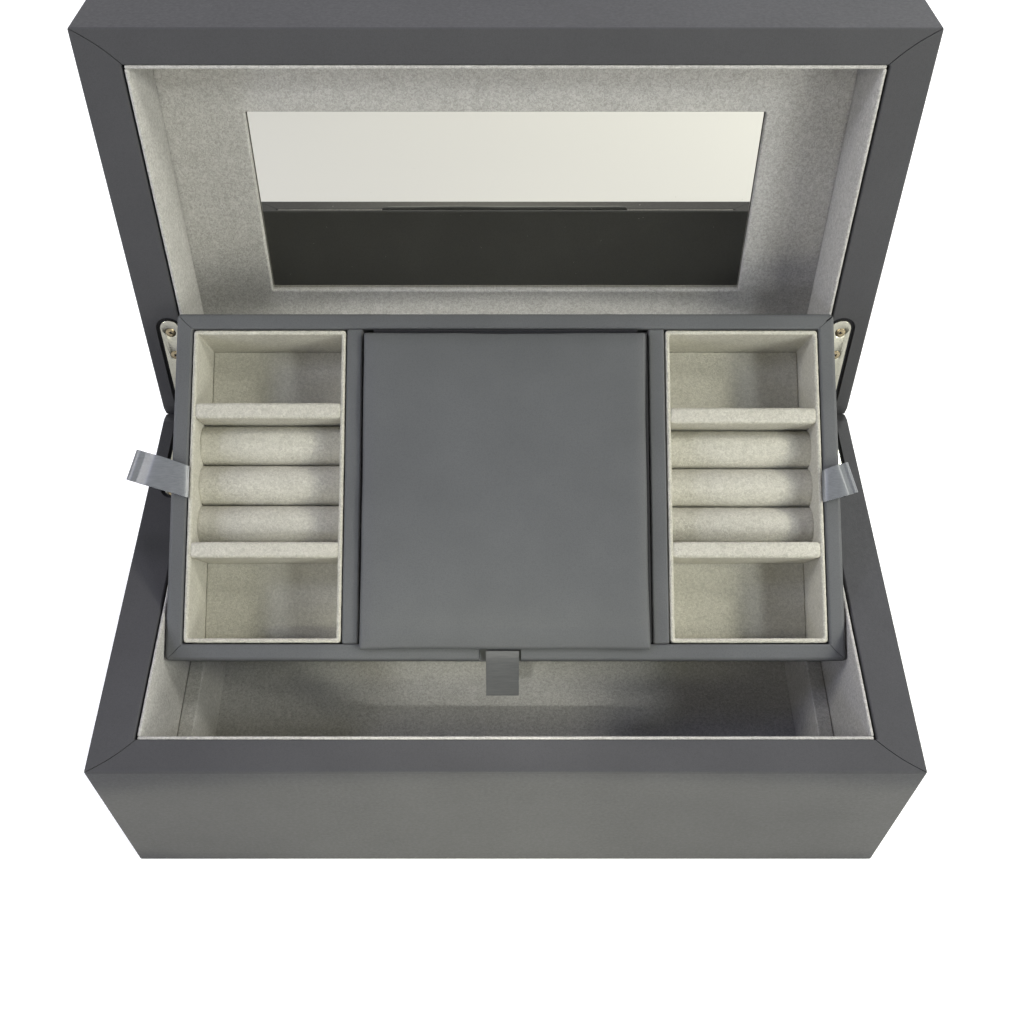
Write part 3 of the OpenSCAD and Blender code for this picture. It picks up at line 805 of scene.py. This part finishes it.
def screw_set(place):
    """All screws of one hinge half as one piece, each turned by a different amount."""
    dome = [(0, -0.01), (0.35, -0.03), (0.65, -0.08), (0.88, -0.15), (0.97, -0.21), (0.97, -0.3),
            (0.45, -0.62), (0.4, -0.9), (0, -0.9)]
    head = tool(*lathe([(r * SCREW_R, z * LEAF_THICK) for r, z in dome]))
    long_half, thin_half = 0.55 * SCREW_R, 0.14 * SCREW_R
    top, floor = 0.3 * LEAF_THICK, -0.5 * LEAF_THICK
    side = [(-long_half, top), (long_half, top), (0.25 * long_half, floor), (-0.25 * long_half, floor)]
    slot = prism([(x, -thin_half, z) for x, z in side], (0, 2 * thin_half, 0))
    cut(head, *[tool(*moved(slot, Matrix.Rotation(turn, 4, "Z"))) for turn in (0, math.pi / 2)])
    points = [v.co.copy() for v in head.data.vertices]
    faces = [tuple(face.vertices) for face in head.data.polygons]
    bpy.data.objects.remove(head)
    node = f"{place.body}_hinge_screws"
    spots = screw_spots(place, node)
    turned = [Matrix.Translation(spot) @ Matrix.Rotation(math.radians(20 + 37 * i), 4, "Z")
              for i, spot in enumerate(spots)]
    name = f"{place.body}_screws"
    screws = collected(name, [moved((points, faces), matrix) for matrix in turned])
    dress(name, screws, place, BRASS, "screw", node)
    return spots


for place in (BASE, UPTURNED_LID):
    spots = screw_set(place)
    for side in SIDES:
        hinge_leaf(place, side, spots)
        recess_shade_strip(place, side)

# ---------------------------------------------------------------- tray frame

RAIL_EDGE = 1.5 * MM
RAIL_INNER_EDGE = 1.0 * MM
# The notch for the pull tab, past the tab's edges and below the rail's top
NOTCH_LEFT = 2.7 * MM
NOTCH_RIGHT = 0.8 * MM
NOTCH_DEEP = 3 * MM


def tray_frame():
    """The tray's wrapped rails, mitred at the corners, with the notch for the pull tab."""
    rails = [f"tray_{side}_rail" for side in WALLS]
    low, high = TRAY.extent(*rails)
    board_low, board_high = TRAY.extent("tray_bottom_board")
    outer, inner = rect_of(low, high), rect_of(board_low, board_high)
    tray = mesh_object("tray_frame", *ring(outer, inner, low.z, high.z, (RAIL_EDGE, RAIL_INNER_EDGE),
                                           (1.8 * MM, 0.4 * MM), base=0.8 * MM))
    tools = []
    for sx in (-1, 1):
        for y_out, y_in in ((low.y, board_low.y), (high.y, board_high.y)):
            start, end = Vector((sx * board_high.x, y_in)), Vector((sx * high.x, y_out))
            tools.append(seam_tool(start, end, sx * 0.25 * MM, high.z, 0.24 * MM, 0.4 * MM))
            if sx > 0 and y_out == high.y:
                # One mitre has opened towards its outer corner
                middle = start.lerp(end, 0.5)
                tools.append(seam_tool(middle, end, sx * 0.3 * MM, high.z, 0.75 * MM, 1.6 * MM))
    tab_low, tab_high = TRAY.extent("pull_tab")
    over = 4 * MM
    notch_low = Vector((tab_low.x - NOTCH_LEFT, low.y - over, high.z - NOTCH_DEEP))
    notch_high = Vector((tab_high.x + NOTCH_RIGHT, board_low.y + over, high.z + over))
    tools.append(tool(*block(notch_low, notch_high, 0.6 * MM)))
    cut(tray, *tools)
    dress("tray_frame", tray, TRAY, TRAY_LEATHER, "tray_leatherette", *rails)


tray_frame()


def divider(side):
    """A wrapped wall between two compartments, with a round top."""
    low, high = TRAY.extent(f"{side}_divider")
    parts = block(low, high, 0.9 * MM, (1, 30, 6), 3, fuzzy(25 * MM, 0.12 * MM))
    dress(f"{side}_divider_wrap", parts, TRAY, TRAY_LEATHER, "tray_leatherette", f"{side}_divider")


for side in SIDES:
    divider(side)

# ---------------------------------------------------------------- liners

LINER_WALL = 2.2 * MM
LINER_GAP = 0.45 * MM
LINER_STEP = 1.2 * MM
NAP = fuzzy(0.9 * MM, 0.13 * MM)


def liner_piece(name, parts, *nodes):
    return dress(name, parts, TRAY, LINER_SUEDE, "suede_warm", *nodes)


def liner_ring(side):
    """A liner's suede walls: puffed lips, round outer corners."""
    node = f"{side}_liner_walls"
    low, high = TRAY.extent(node)
    outer = inset(rect_of(low, high), LINER_GAP)
    inner = inset(rect_of(low, high), LINER_WALL)
    lip = (LINER_WALL - LINER_GAP) * 0.5
    steps = [round(size / LINER_STEP) for size in (high - low).xy]
    parts = ring(outer, inner, low.z, high.z, (lip, lip), (1.4 * MM, 0.5 * MM), steps, corner=5, warp=NAP)
    liner_piece(f"{side}_liner", parts, node)


def liner_floor(side):
    """The suede floor of a liner, close against its walls."""
    node = f"{side}_liner_floor"
    low, high = TRAY.extent(node)
    gap = Vector((0.05 * MM, 0.05 * MM, 0))
    steps = [max(1, round(s / (2 * MM))) for s in high - low]
    parts = block(low + gap, high - gap, 0.5 * MM, steps, 2, fuzzy(1.4 * MM, 0.08 * MM))
    liner_piece(f"{side}_liner_bed", parts, node)


def solid_groups(place, node):
    """Boxes of a node's separate solids, front to back."""
    shape = bmesh.new()
    shape.from_mesh(frame["nodes"][node].data)
    bmesh.ops.remove_doubles(shape, verts=shape.verts, dist=0.001 * MM)
    seen, boxes = set(), []
    for start in shape.verts:
        if start in seen:
            continue
        stack, members = [start], []
        seen.add(start)
        while stack:
            v = stack.pop()
            members.append(place.inverse @ v.co)
            for edge in v.link_edges:
                other = edge.other_vert(v)
                if other not in seen:
                    seen.add(other)
                    stack.append(other)
        boxes.append(box_of(members))
    shape.free()
    return sorted(boxes, key=lambda b: b[0].y)


def liner_bars(side):
    """The padded bars across a side liner, each a pillow with round ends."""
    sunk, droop = 0.7 * MM, 0.3 * MM
    for at, (low, high) in zip(("front", "rear"), solid_groups(TRAY, f"{side}_liner_bars")):
        middle, half = (low + high) / 2, (high - low) / 2

        def puffed(p):
            u = (p.x - middle.x) / half.x
            tight = 1 - 0.05 * abs(u) ** 10
            # The ends sink a little into the liner's sides
            x, z = p.x + sunk * u, p.z - droop * abs(u) ** 12
            return NAP(Vector((x, middle.y + (p.y - middle.y) * tight, z)))

        steps = (round((high.x - low.x) / MM), 3, 12)
        node = [f"{side}_liner_bars"] if at == "front" else []
        parts = block(low, high, 1.5 * MM, steps, 4, puffed)
        liner_piece(f"{side}_{at}_bar", parts, *node)


def ring_roll(low, high):
    """A foam roll in suede: a round top that pulls in towards the ends."""
    middle, r = (low + high) / 2, (high.y - low.y) / 2
    axis_z = high.z - r
    arc, steps = 14, 60
    turns = [math.pi * k / arc for k in range(arc + 1)]
    top = [(-r * math.cos(t), axis_z + r * math.sin(t)) for t in turns]
    section = [(-r, low.z), *top, (r, low.z)]
    end = 1.4 * MM
    # The ends press into the liner's sides
    half = (high.x - low.x) / 2 + 0.5 * MM
    points = []
    for i in range(steps + 1):
        # Close together at the ends, where the cover turns in
        x = half * math.sin(math.pi * (i / steps - 0.5))
        depth = (half - abs(x)) / end
        pull = 0.93 + 0.07 * math.sqrt(max(0.0, 1 - (1 - min(depth, 1)) ** 2.2))
        for y, z in section:
            height = low.z if z == low.z else axis_z + (z - axis_z) * pull - r * (1 - pull) * 0.4
            points.append(NAP(Vector((middle.x + x, middle.y + y * pull, height))))
    size = len(section)
    faces = joined_loops(steps + 1, size, False)
    faces.append(tuple(range(size - 1, -1, -1)))
    faces.append(tuple(steps * size + k for k in range(size)))
    return points, faces


def ring_rolls(side):
    """The row of rolls that hold rings between them."""
    for i, (low, high) in enumerate(solid_groups(TRAY, f"{side}_ring_rolls")):
        node = [f"{side}_ring_rolls"] if i == 0 else []
        liner_piece(f"{side}_roll_{i + 1}", ring_roll(low, high), *node)


for side in SIDES:
    liner_ring(side)
    liner_floor(side)
    liner_bars(side)
    ring_rolls(side)
liner_ring("centre")
liner_floor("centre")

# ---------------------------------------------------------------- centre lid


def centre_cushion():
    """The padded leatherette cover: a flat pillow whose edges roll down between pointed corners."""
    low, high = TRAY.extent("centre_lid_pad")
    middle, half = (low + high) / 2, (high - low) / 2
    roll, drop, crown = 7 * MM, 1.3 * MM, 0.5 * MM
    # How far the sides draw in between the corners
    draw_x, draw_y = 0.45 * MM, 0.35 * MM

    def pillow(p):
        x, y = p.x - middle.x, p.y - middle.y
        u, v = abs(x) / half.x, abs(y) / half.y
        # The rolled edge: full at the sides' middles, thinner stuffing towards the corners
        near = min(half.x - abs(x), half.y - abs(y))
        fall = max(0.0, 1 - near / roll) ** 2.4
        lift = crown * (1 - u ** 4) * (1 - v ** 4) - drop * fall
        rise = (p.z - low.z) / (high.z - low.z)
        shift = Vector((-math.copysign(draw_x * u ** 8 * (1 - v ** 6), x),
                        -math.copysign(draw_y * v ** 8 * (1 - u ** 6), y), lift * rise))
        return p + shift + noise.noise_vector(p / (22 * MM)) * 0.3 * MM * max(u, v) ** 6

    # It sits nearer the left divider
    aside, lower = 0.9 * MM, 0.3 * MM
    top = high - Vector((aside, 0, lower))
    parts = block(low, top, 1.2 * MM, (70, 76, 1), 4, pillow)
    name = "centre_cushion"
    piece = dress(name, parts, CENTRE_LID, TRAY_LEATHER, "tray_leatherette", "centre_lid_pad")


centre_cushion()


def centre_lid_lining():
    """The suede under the centre lid."""
    low, high = TRAY.extent("centre_lid_suede")
    parts = block(low, high, 0.24 * MM, (30, 34, 1), 2)
    dress("centre_lid_lining", parts, CENTRE_LID, LINER_SUEDE, "suede_warm", "centre_lid_suede")


centre_lid_lining()

# ---------------------------------------------------------------- ribbons

RIBBON_THICK = 0.35 * MM
LOOP_SLANT = math.radians(17)
# Shares of a loop's reach and heights in mm: up from the seam, over a crease to the fold, and back below
LOOP_PROFILE = [(0.0, 0.3), (0.07, 1.3), (0.2, 2.2), (0.45, 3.2), (0.6, 3.35), (0.68, 2.9), (0.8, 1.6),
                (0.83, 1.4), (0.86, 1.6), (0.91, 1.8), (0.96, 1.4), (1.0, 0.5), (0.98, -0.5), (0.9, -0.9),
                (0.75, -0.3), (0.55, 0.3), (0.3, 0.35), (0.02, 0.15)]


def smooth_path(points, steps):
    """Points on a smooth curve through the given ones."""
    ends = [points[0] * 2 - points[1], *points, points[-1] * 2 - points[-2]]
    path = []
    for i in range(1, len(ends) - 2):
        a, b, c, d = ends[i - 1:i + 3]
        for k in range(steps):
            t = k / steps
            path.append(0.5 * (2 * b + (c - a) * t + (2 * a - 5 * b + 4 * c - d) * t ** 2
                               + (3 * b - a - 3 * c + d) * t ** 3))
    path.append(points[-1])
    return path


def ribbon(name, body, points, sides, width, node, material=SATIN):
    """A ribbon along a smooth curve; sides say which way its width lies at each point."""
    steps, across = 6, 8
    path = smooth_path(points, steps)
    shares = [j / across - 0.5 for j in range(across + 1)]
    verts = []
    for middle, way in zip(path, smooth_path(sides, steps)):
        verts += [middle + way.normalized() * width * share for share in shares]
    row = across + 1
    starts = [i * row + j for i in range(len(path) - 1) for j in range(across)]
    faces = [(a, a + 1, a + row + 1, a + row) for a in starts]
    obj = mesh_object(name, verts, faces)
    thick = obj.modifiers.new("thick", "SOLIDIFY")
    thick.thickness = RIBBON_THICK
    thick.offset = 0
    apply_modifiers(obj)
    piece = dress(name, obj, Place(body, TRAY.matrix), material, "satin", node)


def ribbon_loop(side, reach, forward):
    """A loop to lift the tray by: out from its seam over the rail and back under itself."""
    sign = -1 if side == "left" else 1
    low, high = TRAY.extent(f"{side}_ribbon_loop")
    seam_x, tuck = high.x if sign < 0 else low.x, 0.5 * MM
    root = Vector((seam_x - sign * tuck, (low.y + high.y) / 2 - forward, low.z))
    out = Vector((sign * math.cos(LOOP_SLANT), math.sin(LOOP_SLANT), 0))
    along, turned = Vector((0, 1, 0)), Vector((-sign * math.sin(LOOP_SLANT), math.cos(LOOP_SLANT), 0))
    points, sides = [], []
    for share, height in LOOP_PROFILE:
        points.append(root + out * reach * share + Vector((0, 0, height * MM)))
        sides.append(along.lerp(turned, min(1.0, 1.6 * abs(share))))
    ribbon(f"{side}_satin_loop", f"{side}_loop", points, sides, high.y - low.y - 0.4 * MM,
           f"{side}_ribbon_loop")


ribbon_loop("left", 23.5 * MM, 1.4 * MM)
ribbon_loop("right", 12.4 * MM, 3.2 * MM)


def pull_tab():
    """The ribbon that lifts the centre lid: through the notch, then drooping ever more."""
    low, high = TRAY.extent("pull_tab")
    x = (low.x + high.x) / 2
    under, past, droop = 0.3 * MM, 1.3 * MM, 1.5 * MM
    root = Vector((x, high.y, high.z - under))
    end = Vector((x, low.y - past, low.z - droop))
    points = []
    for share in (0, 0.14, 0.3, 0.5, 0.75, 1):
        # Steeper and steeper: height falls with a power of the way out
        spot = root.lerp(end, share)
        spot.z = root.z + (end.z - root.z) * share ** 1.12
        points.append(spot)
    sides = [Vector((1, 0, 0))] * len(points)
    ribbon("satin_pull_tab", "pull_tab", points, sides, high.x - low.x, "pull_tab",
           SHADED_TAB_SATIN)


pull_tab()

# ---------------------------------------------------------------- CAD nodes that stay

paint_node(BOARD, "base_bottom_board", "lid_top_board", "tray_bottom_board")
paint_node(CARD, "mirror_backing", "centre_lid_board")
# The centre hinge tape is black felt so that the gap between the rail and the pad reads as one unbroken dark
# line: painted shade
paint_node(FELT, "base_felt", "centre_hinge_tape")
paint_node(SATIN, "pull_tab_seam")

# ---------------------------------------------------------------- floor, light and camera

CAMERA_AHEAD = 181.1 * MM
CAMERA_ABOVE = 395.5 * MM
CAMERA_DOWN = 53.1
CAMERA_LENS = 42.1
CAMERA_SHIFT = 0.0063


def white_for_view(tree, direct, mirrored):
    """The first strength for rays from the camera, the second for those that metal and glass show."""
    path = tree.nodes.new("ShaderNodeLightPath")
    total = 0.0
    for kind, strength in (("Camera", direct), ("Glossy", mirrored), ("Transmission", mirrored)):
        seen = math_node(tree, "MULTIPLY", path.outputs[f"Is {kind} Ray"], strength)
        total = math_node(tree, "MAXIMUM", total, seen)
    return total


def floor():
    """A plain pale floor, white in direct view, that keeps the object's shadow."""
    size = 4.0
    corners = [(-size, -size, 0), (size, -size, 0), (size, size, 0), (-size, size, 0)]
    obj = mesh_object("floor", corners, [(0, 1, 2, 3)])
    paint = Paint("floor", Base_Color=(0.86, 0.86, 0.86, 1), Roughness=0.9, Emission_Color=(1, 1, 1, 1))
    # The lamps fade away from the object, so the floor's own white grows there
    away = paint.node("VectorMath", Vector=paint.place)
    away.operation = "LENGTH"
    fade = paint.spread(away.outputs["Value"], 0.6, 1.0, 0.4, 1.6)
    # Lamps light the floor that a reflection shows, so it needs less white there
    white = math_node(paint.tree, "MULTIPLY", fade, white_for_view(paint.tree, 1, 0.25))
    paint.fill(paint.shader, {"Emission Strength": white})
    obj.data.materials.append(paint.material)


def world():
    """Even dim light from all round, white where the camera or a reflection sees it."""
    made = bpy.data.worlds.new("studio")
    bpy.context.scene.world = made
    made.use_nodes = True
    tree = made.node_tree
    background = tree.nodes["Background"].inputs
    background["Color"].default_value = (1, 1, 1, 1)
    ambient = 0.012
    strength = math_node(tree, "ADD", white_for_view(tree, 1 - ambient, 1 - ambient), ambient)
    feed(tree, background["Strength"], strength)


# Name, azimuth (0 in front, 90 to the right), elevation, size, watts and colour of each softbox
SOFTBOXES = [
    ("front_low", 0, 8, 0.4, 2.8, (1, 0.98, 0.86)),
    ("right_front", 45, 18, 0.4, 5.4, (0.99, 1, 0.93)),
    ("right_key", 90, 41, 0.16, 4.8, (1, 0.99, 0.92)),
    ("right_low", 70, 34, 0.16, 3.9, (1, 0.99, 0.84)),
    ("right_high", 55, 40, 0.16, 2.7, (0.88, 0.94, 1)),
    ("right_back", 150, 43, 0.16, 4.2, (0.97, 1, 0.97)),
    ("back_high", 180, 60, 0.4, 3.2, (0.86, 0.8, 1)),
    ("left_side", -90, 28, 0.16, 3.6, (1, 0.99, 0.93)),
    ("left_high", -80, 42, 0.16, 1.9, (0.63, 0.67, 1)),
    ("left_front", -60, 35, 0.16, 2.15, (0.98, 0.98, 1)),
    ("left_low", -60, 18, 0.16, 1.8, (0.71, 0.75, 1)),
]
STUDIO_DISTANCE = 1.2
STUDIO_MIDDLE = Vector((0, 0, 0.08))


def studio_light(light, azimuth, elevation, watts, colour, target):
    """Puts a light at this bearing from the target, and turns it to face it."""
    light.energy = watts
    light.color = colour
    obj = scene_object(light.name, light)
    a, e = math.radians(azimuth), math.radians(elevation)
    away = Vector((math.sin(a) * math.cos(e), -math.cos(a) * math.cos(e), math.sin(e)))
    obj.location = target + away * STUDIO_DISTANCE
    obj.rotation_euler = away.to_track_quat("Z", "Y").to_euler()
    return obj


def softbox(name, azimuth, elevation, size, watts, colour):
    """A square area light that faces the object from this side."""
    light = bpy.data.lights.new(name, "AREA")
    light.size = size
    studio_light(light, azimuth, elevation, watts, colour, STUDIO_MIDDLE)


# Narrow spots: name, azimuth, elevation, cone, height over width, blend, radius, watts, colour, aimed at
SPOTS = [
    ("under_tray_spot", -8, 50, 11, 1, 1, 0.05, 22, (1, 1, 0.8), (-0.01, -0.05, 0.02)),
    ("front_wall_spot", 2, 0.5, 23, 0.21, 0.45, 0.006, 45, (1, 0.98, 0.74), (0.01, -0.086, 0.038)),
    ("lid_spot", 0, 72, 13, 0.035, 0.9, 0.002, 56, (1, 1, 0.93), (-0.003, 0.1175, 0.112)),
    ("floor_spot", -8, 55, 8.6, 0.2, 1, 0.008, 17, (1, 1, 0.93), (-0.012, -0.008, 0.004)),
]


def spot(name, azimuth, elevation, cone, flat, blend, radius, watts, colour, target):
    """A spot from this side with a flattened beam that lights little beside its target."""
    light = bpy.data.lights.new(name, "SPOT")
    light.spot_size = math.radians(cone)
    light.spot_blend = blend
    light.shadow_soft_size = radius
    lamp = studio_light(light, azimuth, elevation, watts, colour, Vector(target))
    lamp.scale = (1, flat, 1)


def camera():
    """The photo's viewing angle: high in front, looking down into the open box."""
    low, high = BASE.extent("base_front_wall")
    data = bpy.data.cameras.new("camera")
    data.lens = CAMERA_LENS
    data.sensor_width = 36
    data.shift_x = CAMERA_SHIFT
    data.clip_start, data.clip_end = 0.01, 20
    obj = scene_object("camera", data)
    obj.location = (0, low.y - CAMERA_AHEAD, high.z + CAMERA_ABOVE)
    obj.rotation_euler = (math.radians(90 - CAMERA_DOWN), 0, 0)
    bpy.context.scene.camera = obj


floor()
world()
for row in SOFTBOXES:
    softbox(*row)
for row in SPOTS:
    spot(*row)
camera()

bpy.context.scene.view_settings.view_transform = "Standard"
